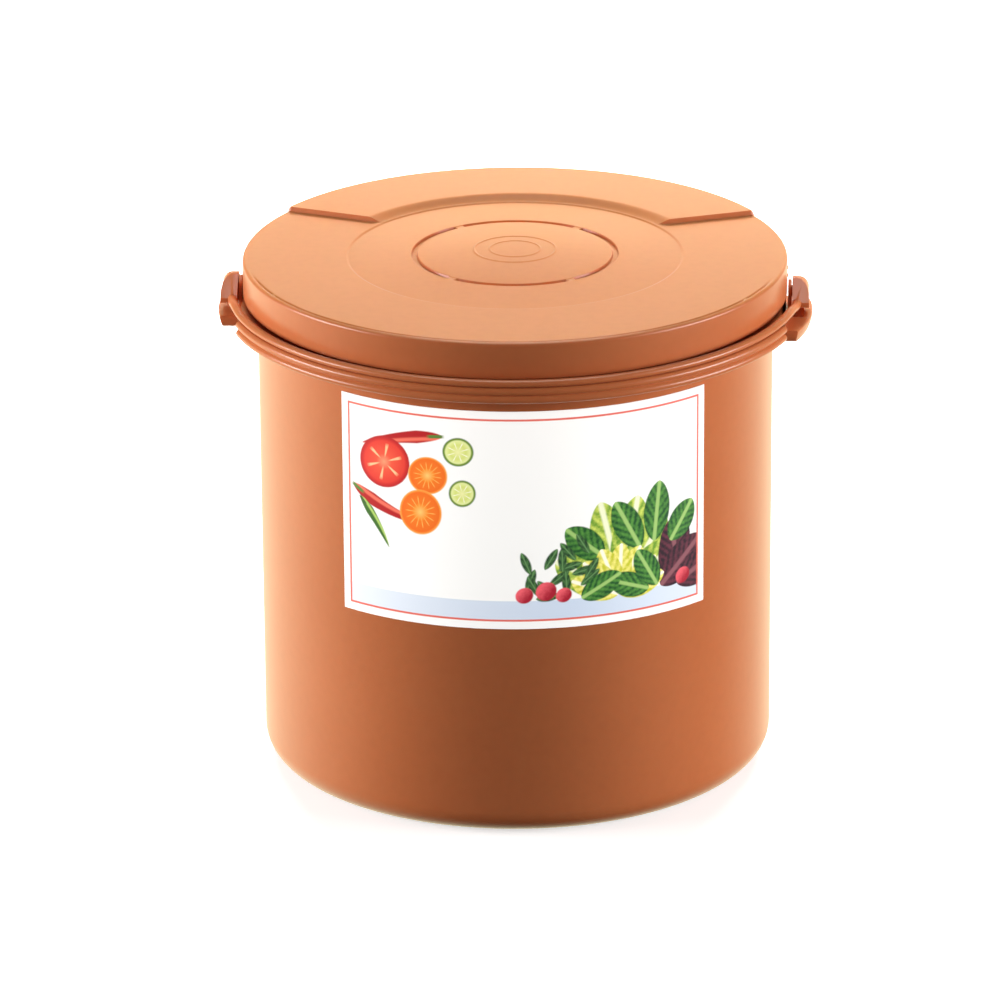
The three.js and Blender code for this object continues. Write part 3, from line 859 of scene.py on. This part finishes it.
def lid_height(reach, angles):
    """Height of the lid's top surface at a radius, over the columns' angles."""
    away = np.abs(angles)
    half_step = STEP_WIDTH / 2 / max(reach, 2 * SECTOR_APEX)
    behind = smooth((away - step_angle(reach) + half_step) / (2 * half_step))
    sector = SECTOR_RISE * behind * smooth((reach - DISC_RADIUS - DISC_BEVEL) / SECTOR_SLOPE)
    inside = smooth((DISC_RADIUS + DISC_BEVEL - reach) / DISC_BEVEL)
    share = (DISC_RADIUS - reach) / (DISC_RADIUS - GROOVE_RADIUS)
    disc = inside * (CROWN_RISE * np.clip(share, 0, 1) - DISC_DROP)
    crown_edge = GROOVE_RADIUS - GROOVE_WIDTH / 2
    crown = CROWN_DOME * max(0, 1 - (reach / crown_edge) ** 2)
    depth = smooth((GROOVE_WIDTH / 2 - abs(reach - GROOVE_RADIUS)) / GROOVE_SOFT)
    off_bridge = np.minimum(np.abs(away - BRIDGE_ANGLE), np.abs(math.pi - away - BRIDGE_ANGLE))
    open_groove = smooth((off_bridge * GROOVE_RADIUS - BRIDGE_WIDTH / 2) / GROOVE_SOFT + 0.5)
    groove = GROOVE_DEPTH * depth * (BRIDGE_SINK + (1 - BRIDGE_SINK) * open_groove)
    rings = sum(smooth(1 - abs(reach - radius) / width) for radius, width in BOSS_RINGS)
    off_break = smooth(np.abs(away - RIM_LINE_BREAK) * lid_radius / 1.2 - 0.6)
    ends = smooth((RIM_LINE_END - away) * RIM_LINE_FADE) * off_break
    line = RIM_LINE_DEPTH * ends * smooth(1 - abs(reach - lid_radius + RIM_LINE_INSET) / RIM_LINE_WIDTH)
    return lid_top + sector + disc + crown - groove + BOSS_RISE * rings - line


step_start = math.degrees(float(step_angle(lid_radius)))
print(f"step lines start {step_start:.1f} degrees from the front")

# %% Outer lid
TOP_RINGS = (
    (0.0, 12.0, 6), (12.0, 22.5, 26), (22.5, 49.0, 12), (49.0, 54.2, 22), (54.2, 84.5, 10),
    (84.5, 88.0, 12), (88.0, 98.0, 14), (98.0, 134.0, 10), (134.0, 138.4, 28),
)


def lid_below():
    """The profile under the top's edge: skirt, seat, plug ring and underside."""
    skirt_bottom = flange_top + SKIRT_GAP
    plug_bottom = lid_underside - PLUG_DEPTH
    return rounded([
        (lid_radius, lid_top - LID_EDGE - 1),
        (lid_radius, skirt_bottom, 0.7),
        (SKIRT_INSIDE, skirt_bottom, 0.7),
        (SKIRT_INSIDE, lid_underside, 1.2),
        (PLUG_RADIUS, lid_underside, 0.6),
        (PLUG_RADIUS, plug_bottom, 0.9),
        (PLUG_RADIUS - LID_WALL, plug_bottom, 0.9),
        (PLUG_RADIUS - LID_WALL, lid_underside, 1.5),
        (0, lid_underside),
    ])


def lid_ring(reach, angles, height):
    """One ring of the lid's points."""
    level = np.broadcast_to(height, angles.shape)
    return np.stack([reach * np.sin(angles), -reach * np.cos(angles), level], axis=-1)


def make_outer_lid():
    rows = []
    for start, end, steps in TOP_RINGS:
        for reach in np.linspace(start, end, steps, endpoint=False):
            angles = lid_angles(reach)
            rows.append(lid_ring(reach, angles, lid_height(reach, angles)))
    angles = lid_angles(lid_radius)
    edge = lid_height(lid_radius - LID_EDGE, angles)
    for reach, drop in arc(LID_EDGE, lid_radius - LID_EDGE, -LID_EDGE, 90, 0, 8):
        rows.append(lid_ring(reach, angles, edge + drop))
    for reach, height in lid_below():
        rows.append(lid_ring(reach, angles, height))
    faces = grid_faces(len(rows), 2 * HALF_COLUMNS)
    lid = new_piece("outer_lid_top", np.concatenate(rows), faces)
    seat(lid, "outer_lid", TOP_LIT_TERRACOTTA)


make_outer_lid()

# %% [markdown]
# ## Silicone
# The gasket under the lid, the press lid's lip seal and the air plug are soft silicone. It is milky rather
# than white, lets a little light in, and shows a soft bloom instead of a hard highlight. A touch of
# subsurface colour does that at a fraction of the cost of true translucency.

# %% Silicone and the gasket
SILICONE_MILK = srgb(232, 227, 217)
SILICONE_SHADE = srgb(221, 213, 199)
GASKET_WIDTH = 3.4


def milky_silicone():
    material, start, shader = new_finish("silicone")
    bloom = noise(start, 60.0, 3.0)
    dust = noise(start, 1400.0, 2.0)
    skin = start.node("Bump", {"Strength": 0.25, "Distance": 0.00005, "Height": dust})
    colour = bloom.above(0.5, 0.6).mixed(SILICONE_SHADE, SILICONE_MILK)
    dress(shader, base_color=colour, roughness=0.5 + 0.15 * bloom, normal=skin, ior=1.41)
    dress(shader, subsurface_weight=0.15, subsurface_scale=0.004)
    return material


SILICONE = milky_silicone()


def make_gasket():
    low, high = node_box("outer_lid_gasket")
    inside = PLUG_RADIUS + SEAT_GAP
    outside = inside + GASKET_WIDTH
    ring = box_outline((inside, low[2]), (outside, high[2]), 0.5)
    seat(turned("gasket", ring, closed=True), "outer_lid_gasket", SILICONE)


make_gasket()

# %% [markdown]
# ## Press lid
# Under the outer lid a paler press lid slides down the bore. It is a dish with a groove round its rim for
# the seal and a collar for the air plug. A bridge to hold it by stands in two shallow pockets of the plate.
# Dish and collar are turned, and the bridge is an outline pushed across, with its edges rounded.

# %% Press lid plastic and press lid
PRESS_DEPTH = 22.0
PRESS_PLATE = 3.0
PRESS_WALL = 2.6
PRESS_RADIUS = 126.5
SEAL_HEIGHT = 8.0
SEAL_GROOVE_DEPTH = 2.4
GRIP_SPAN = 92.0
GRIP_WIDTH = 22.0
GRIP_BAR = 4.5
GRIP_CORNER = 11.0
GRIP_SINK = 1.5
VALVE_HOLE = 5.2
VALVE_COLLAR_WALL = 3.0
VALVE_COLLAR_RISE = 6.0
PRESS_PALE = srgb(222, 172, 136)
PRESS_DEEP = srgb(212, 158, 120)

press_bottom = node_box("inner_press_lid")[0][2]
press_top = press_bottom + PRESS_DEPTH
plate_top = press_bottom + PRESS_PLATE
valve_low, valve_high = node_box("air_valve_plug")
valve_offset = (valve_low[0] + valve_high[0]) / 2


def press_lid_plastic():
    material, start, shader = new_finish("press_lid_plastic")
    place = start.node("TexCoord", output="Object")
    cloud = noise(start, 14.0, 3.0)
    spark = start.node("TexVoronoi", {"Vector": place, "Scale": 700.0})
    skin = start.node("Bump", {"Strength": 0.35, "Distance": 0.00006, "Height": spark})
    colour = cloud.above(0.5, 0.5).mixed(PRESS_DEEP, PRESS_PALE)
    dress(shader, base_color=colour, roughness=0.46 + 0.14 * cloud, normal=skin, ior=1.49)
    return material


PRESS_PLASTIC = press_lid_plastic()


def press_dish():
    groove_bottom = plate_top
    groove_top = groove_bottom + SEAL_HEIGHT + 2 * SEAT_GAP
    groove_radius = PRESS_RADIUS - SEAL_GROOVE_DEPTH
    return turned("press_dish", rounded([
        (0, press_bottom),
        (PRESS_RADIUS, press_bottom, 1.0),
        (PRESS_RADIUS, groove_bottom, 0.4),
        (groove_radius, groove_bottom, 0.3),
        (groove_radius, groove_top, 0.3),
        (PRESS_RADIUS, groove_top, 0.4),
        (PRESS_RADIUS, press_top, 1.0),
        (PRESS_RADIUS - PRESS_WALL, press_top, 1.0),
        (PRESS_RADIUS - PRESS_WALL, groove_top + PRESS_WALL, 1.5),
        (groove_radius - PRESS_WALL, groove_top, 1.5),
        (groove_radius - PRESS_WALL, plate_top, 4.0),
        (0, plate_top),
    ]))


def make_press_grip():
    half = GRIP_SPAN / 2
    foot, top = (corner[2] for corner in node_box("press_lid_grip"))
    inner = GRIP_CORNER - GRIP_BAR
    outline = rounded([
        (half, foot), (half, top, GRIP_CORNER), (-half, top, GRIP_CORNER), (-half, foot),
        (GRIP_BAR - half, foot), (GRIP_BAR - half, top - GRIP_BAR, inner),
        (half - GRIP_BAR, top - GRIP_BAR, inner), (half - GRIP_BAR, foot),
    ], closed=True, steps=10)
    grip = pushed("press_grip", outline, -GRIP_WIDTH / 2, GRIP_WIDTH / 2, "Y")
    seat(softened(grip, 1.2, 4), "press_lid_grip", PRESS_PLASTIC)


def valve_shape(name, profile):
    """A small turned shape at the air valve's place."""
    shape = turned(name, profile, columns=64)
    shape.data.transform(Matrix.Translation((valve_offset * MM, 0, 0)))
    return shape


def make_press_lid():
    lid = press_dish()
    collar_top = plate_top + VALVE_COLLAR_RISE
    collar_radius = VALVE_HOLE + VALVE_COLLAR_WALL
    middle = press_bottom + PRESS_PLATE / 2
    collar = rounded([
        (0, middle), (collar_radius, middle), (collar_radius, collar_top, 0.8), (0, collar_top),
    ])
    below, over = press_bottom - PRESS_PLATE, collar_top + PRESS_PLATE
    hole = [(0, below), (VALVE_HOLE, below), (VALVE_HOLE, over), (0, over)]
    combined(lid, valve_shape("collar", collar), "UNION")
    combined(lid, valve_shape("valve_hole", hole), "DIFFERENCE")
    for side in (-1, 1):
        ends = sorted(side * (GRIP_SPAN / 2 + reach) for reach in (SEAT_GAP, -GRIP_BAR - SEAT_GAP))
        half_width = GRIP_WIDTH / 2 + SEAT_GAP
        pocket = box_outline((ends[0], -half_width), (ends[1], half_width), 0.8)
        low, high = plate_top - GRIP_SINK, plate_top + GRIP_SINK
        combined(lid, pushed("grip_pocket", pocket, low, high, "Z"), "DIFFERENCE")
    seat(lid, "inner_press_lid", PRESS_PLASTIC)


make_press_lid()
make_press_grip()

# %% Lip seal and air plug
SEAL_ROOT = 2.4
SEAL_LIP = 1.1
VALVE_CAP = 3.2
VALVE_KNOB = 4.2
VALVE_STEM = 4.8
VALVE_TIP_TAPER = 1.2


def make_lip_seal():
    low, high = node_box("press_lid_seal")
    inside = PRESS_RADIUS - SEAL_GROOVE_DEPTH + SEAT_GAP
    root = inside + SEAL_ROOT
    reach, bottom, top = high[0], low[2], high[2]
    ring = rounded([
        (inside, bottom, 0.3), (root, bottom, 0.2),
        (reach, bottom + SEAL_LIP, 0.3), (reach, bottom + 2 * SEAL_LIP, 0.3),
        (root, bottom + 2 * SEAL_LIP, 0.4),
        (root, top - 2 * SEAL_LIP, 0.4), (reach, top - SEAL_LIP, 0.3), (reach, top, 0.3),
        (inside, top, 0.3),
    ], closed=True, steps=3)
    seat(turned("lip_seal", ring, closed=True), "press_lid_seal", SILICONE)


def make_air_plug():
    bottom, top = valve_low[2], valve_high[2]
    cap_radius = (valve_high[0] - valve_low[0]) / 2
    cap_bottom = plate_top + VALVE_COLLAR_RISE + SEAT_GAP
    cap_top = cap_bottom + VALVE_CAP
    profile = rounded([
        (0, bottom), (VALVE_STEM - VALVE_TIP_TAPER, bottom, 0.6),
        (VALVE_STEM, bottom + 2 * VALVE_TIP_TAPER, 1.0), (VALVE_STEM, cap_bottom, 0.3),
        (cap_radius, cap_bottom, 0.5), (cap_radius, cap_top, 1.5),
        (VALVE_KNOB, cap_top, 0.8), (VALVE_KNOB, top, 1.4), (0, top),
    ])
    seat(valve_shape("air_plug", profile), "air_valve_plug", SILICONE)


make_lip_seal()
make_air_plug()

# %% [markdown]
# ## Label
# A coated paper label is stuck to the front of the wall. It is one thin sheet bent round the tub, with a
# map of its own in millimetres, so that the print can be laid out like a flat sheet of paper: a red rule
# near the edge, a pale blue band along the bottom, and pictures of vegetables in an order of their own.

# %% Label sheet
LABEL_COLUMNS = 120
LABEL_ROWS = 60
LABEL_THICKNESS = 0.35
LABEL_HALF_ANGLE = math.radians(43.2)
LABEL_TURN = math.radians(4.75)

label_bottom, label_top = (corner[2] for corner in node_box("label"))
label_height = label_top - label_bottom
label_width = 2 * LABEL_HALF_ANGLE * (wall_at(label_top) + SEAT_GAP)


def make_label_sheet():
    shares = [(u, v) for v in np.linspace(0, 1, LABEL_ROWS) for u in np.linspace(0, 1, LABEL_COLUMNS)]
    points = []
    for lift in (SEAT_GAP + LABEL_THICKNESS, SEAT_GAP):
        for u, v in shares:
            height = label_bottom + v * label_height
            angle = LABEL_TURN + (2 * u - 1) * LABEL_HALF_ANGLE
            reach = wall_at(height) + lift
            points.append((reach * math.sin(angle), -reach * math.cos(angle), height))
    count = len(shares)
    front = grid_faces(LABEL_ROWS, LABEL_COLUMNS, wrap_columns=False)
    back = [tuple(count + i for i in reversed(face)) for face in front]
    sides = {side for face in front for side in zip(face, face[1:] + face[:1])}
    rim = sorted((a, b) for a, b in sides if (b, a) not in sides)
    edge = [(a, a + count, b + count, b) for a, b in rim]
    sheet = new_piece("label_sheet", points, front + back + edge)
    layer = sheet.data.uv_layers.new(name="print")
    for loop in sheet.data.loops:
        u, v = shares[loop.vertex_index % count]
        layer.data[loop.index].uv = (u, v)
    return sheet


label = make_label_sheet()
print(f"label {label_width:.0f} x {label_height:.0f} mm")

# %% [markdown]
# The pictures are sums of simple shapes. A leaf is a band that swells and closes along its midrib, with
# veins that slant from it. A slice is rings of colour round a centre, with spokes. A pepper is a bent leaf
# without veins and with a shine. Each goes over what is already on the sheet, as inks do.

# %% Inks and picture shapes
PAPER_WHITE = srgb(250, 249, 246)
RULE_RED = srgb(224, 104, 88)
BAND_BLUE = srgb(196, 211, 232)
EDGE_SOFT = 0.35
SLICE_SQUASH = 0.94
BALL_SQUASH = 0.9
BALL_TURN = 30


class Sheet:
    """The label's print: coordinates in millimetres from its lower left corner, and the ink so far."""

    def __init__(self, start):
        uv = start.node("UVMap", uv_map="print")
        self.start = start
        self.x = start.node("SeparateXYZ", {0: uv}, output="X") * label_width
        self.y = start.node("SeparateXYZ", {0: uv}, output="Y") * label_height
        place = start.node("CombineXYZ", {0: self.x, 1: self.y})
        self.speckle = start.node("TexNoise", {"Vector": place, "Scale": 0.55, "Detail": 3.0})
        self.ink = start.node("RGB")
        self.ink.socket.default_value = PAPER_WHITE

    def local(self, at, turn, length, width):
        """Coordinates along and across a shape that starts at a point, turned by some degrees."""
        c, s = math.cos(math.radians(turn)), math.sin(math.radians(turn))
        x, y = at
        along = self.y.line(s / length, self.x.line(c / length, -(x * c + y * s) / length))
        across = self.y.line(c / width, self.x.line(-s / width, (x * s - y * c) / width))
        return along, across

    def over(self, mask, colour):
        self.ink = mask.mixed(self.ink, colour)

    def leaf(self, at, turn, length, width, inks, veins):
        dark, light, rib = inks
        along, across = self.local(at, turn, length, width)
        away = abs(across)
        swell = (along * (1 - along) * 4) ** 0.62
        mask = (swell - away).above(EDGE_SOFT / width, 2 * EDGE_SOFT / width)
        stripes = along.math("SINE", (along - away * 0.35) * (veins * 2 * math.pi))
        tone = stripes * 0.16 + self.speckle * 0.9 - away * 0.25
        blade = tone.above(0.35, 0.5).mixed(dark, light)
        middle = (0.13 - away).above(0, 0.1)
        self.over(mask, middle.mixed(blade, rib))

    def disc(self, at, radius, squash, turn):
        """A squashed disc: coordinates along and across, the share of its radius, and its mask."""
        along, across = self.local(at, turn, radius, radius * squash)
        reach = (along * along + across * across) ** 0.5
        return along, across, reach, (1 - reach).above(0, 2 * EDGE_SOFT / radius)

    def slice(self, at, radius, stops, spokes, spoke_colour, turn=20):
        along, across, reach, mask = self.disc(at, radius, SLICE_SQUASH, turn)
        flesh = self.start.node("ValToRGB", {0: reach}, stops=stops)
        ring = reach.math("COSINE", reach.math("ARCTAN2", across, along) * spokes)
        between = (0.74 - abs(reach - 0.45) * 2).above(0.3, 0.3)
        spoke = ring.above(0.86, 0.16) * between
        self.over(mask, spoke.mixed(flesh, spoke_colour))

    def pepper(self, at, turn, length, width, bend, dark, light, stalk):
        along, across = self.local(at, turn, length, width)
        bent = across - along * along * bend
        away = abs(bent)
        swell = ((1 - along) * along.above(0.02, 0.35)) ** 0.5
        mask = (swell - away).above(EDGE_SOFT / width, 2 * EDGE_SOFT / width)
        shine = (0.22 - abs(bent - 0.3)).above(0, 0.25)
        self.over(mask, shine.mixed(dark, light))
        stem = (0.2 - away).above(0, 0.1) * (0.1 - abs(along + 0.06)).above(0, 0.05)
        self.over(stem, stalk)

    def ball(self, at, radius, dark, light):
        along, across, _, mask = self.disc(at, radius, BALL_SQUASH, BALL_TURN)
        lit = (across * 0.7 - along * 0.3 + self.speckle * 0.6).above(0.35, 0.9)
        self.over(mask, lit.mixed(dark, light))


print("picture shapes ready")

# %% Label print
RULE_INSET = 4.6
RULE_WIDTH = 1.1
BAND_HEIGHT = 10.5
SPINACH = (srgb(24, 78, 34), srgb(84, 146, 60), srgb(158, 196, 110))
CABBAGE = (srgb(106, 152, 44), srgb(206, 218, 96), srgb(240, 243, 206))
HEART = (srgb(196, 196, 48), srgb(246, 236, 132), srgb(252, 250, 224))
PURPLE = (srgb(44, 22, 34), srgb(104, 46, 62), srgb(140, 84, 92))
SPRIG = (srgb(28, 58, 34), srgb(72, 116, 62), srgb(96, 140, 84))
TOMATO = (
    (0.0, srgb(246, 150, 110)), (0.3, srgb(232, 84, 58)), (0.8, srgb(222, 58, 44)),
    (0.9, srgb(196, 36, 34)), (1.0, srgb(176, 28, 30)),
)
CARROT = (
    (0.0, srgb(250, 196, 110)), (0.32, srgb(246, 142, 44)), (0.4, srgb(240, 120, 30)),
    (0.88, srgb(238, 108, 26)), (1.0, srgb(250, 170, 72)),
)
CUCUMBER = (
    (0.0, srgb(236, 236, 168)), (0.5, srgb(214, 222, 120)), (0.8, srgb(228, 234, 160)),
    (0.88, srgb(120, 150, 50)), (1.0, srgb(66, 104, 36)),
)
PEPPER_RED = (srgb(176, 22, 26), srgb(238, 110, 88), srgb(86, 128, 52))
PEPPER_GREEN = (srgb(58, 104, 34), srgb(170, 200, 100), srgb(60, 96, 40))
RADISH = (srgb(168, 20, 44), srgb(238, 92, 104))


def lay_vegetables(sheet):
    """A heap of leaves and roots in the lower right."""
    for turn, length in ((152, 40), (128, 46), (104, 50), (80, 50), (56, 44), (32, 38)):
        sheet.leaf((150, 17), turn, length, 11, CABBAGE, 6)
    for at, turn in (((176, 18), 74), ((184, 16), 100), ((172, 15), 40), ((182, 14), 22)):
        sheet.leaf(at, turn, 34, 10, PURPLE, 7)
    tall = (((160, 38), 118, 30), ((168, 40), 84, 32), ((140, 36), 140, 26), ((178, 38), 54, 24))
    for at, turn, length in tall:
        sheet.leaf(at, turn, length, 8, SPINACH, 6)
    for turn in range(15, 180, 24):
        sheet.leaf((148, 15), turn, 27, 7, HEART, 5)
    for step in range(15):
        at = (100 + 2.3 * step, 20 + 9 * math.sin(step * 1.9) + 0.7 * step)
        sheet.leaf(at, 70 + 62 * math.sin(step * 2.4), 13, 2.6, SPRIG, 3)
    for at, turn in (((165, 15), 160), ((128, 15), 28), ((170, 16), 120)):
        sheet.leaf(at, turn, 24, 7, SPINACH, 6)
    for at, radius in (((110, 20), 5.4), ((99, 18), 4.6), ((119, 17.5), 4.2), ((186, 17.5), 4.6)):
        sheet.ball(at, radius, *RADISH)


def lay_slices(sheet):
    """Slices and peppers in the upper left."""
    sheet.pepper((12, 66), -28, 38, 4.4, 1.4, *PEPPER_RED)
    sheet.pepper((52, 101), 186, 40, 4.2, 1.2, *PEPPER_RED)
    sheet.pepper((14, 60), -48, 26, 3.2, -1.2, *PEPPER_GREEN)
    sheet.slice((26, 84), 14.5, TOMATO, 6, srgb(248, 190, 140))
    sheet.slice((50, 80), 10.5, CARROT, 14, srgb(250, 178, 86))
    sheet.slice((46, 60), 12.0, CARROT, 14, srgb(250, 178, 86), turn=75)
    sheet.slice((66, 94), 8.0, CUCUMBER, 8, srgb(246, 246, 214))
    sheet.slice((68, 72), 7.2, CUCUMBER, 8, srgb(246, 246, 214), turn=60)


def printed_paper():
    material, start, shader = new_finish("label_paper")
    sheet = Sheet(start)
    inset_x = label_width / 2 - abs(sheet.x - label_width / 2)
    inset_y = label_height / 2 - abs(sheet.y - label_height / 2)
    inset = inset_x.math("MINIMUM", inset_x, inset_y)
    inner = inset.above(RULE_INSET, EDGE_SOFT)
    band = (RULE_INSET + BAND_HEIGHT - sheet.y).above(0, EDGE_SOFT) * inner
    pale = abs(sheet.x / label_width - 0.62).above(0.3, 0.9)
    sheet.over(band * (1 - pale * 0.6), BAND_BLUE)
    lay_vegetables(sheet)
    lay_slices(sheet)
    frame_line = (RULE_WIDTH / 2 - abs(inset - RULE_INSET)).above(0, EDGE_SOFT)
    sheet.over((RULE_INSET - inset).above(0, EDGE_SOFT), PAPER_WHITE)
    sheet.over(frame_line, RULE_RED)
    fibre = noise(start, 1300.0, 3.0)
    skin = start.node("Bump", {"Strength": 0.15, "Distance": 0.00003, "Height": fibre})
    dress(shader, base_color=sheet.ink, roughness=0.4 + 0.12 * fibre, normal=skin)
    return material


PRINTED_PAPER = printed_paper()
print("print nodes:", len(PRINTED_PAPER.node_tree.nodes))
seat(label, "label", PRINTED_PAPER)

# %% [markdown]
# In the photograph the paper is pure white although the wall round it lies in shade, as a retoucher leaves
# it. A lamp beside the camera would light the wall too, so this one is linked to the label alone.

# %% Lamp for the label
PAPER_BOX = (0, 24, 2.4, (0.8, 0.8), 0.62)

paper_only = bpy.data.collections.new("paper_only")
paper_only.objects.link(label)
paper_lamp = lamp("paper_soft_box", *PAPER_BOX)
paper_lamp.light_linking.receiver_collection = paper_only
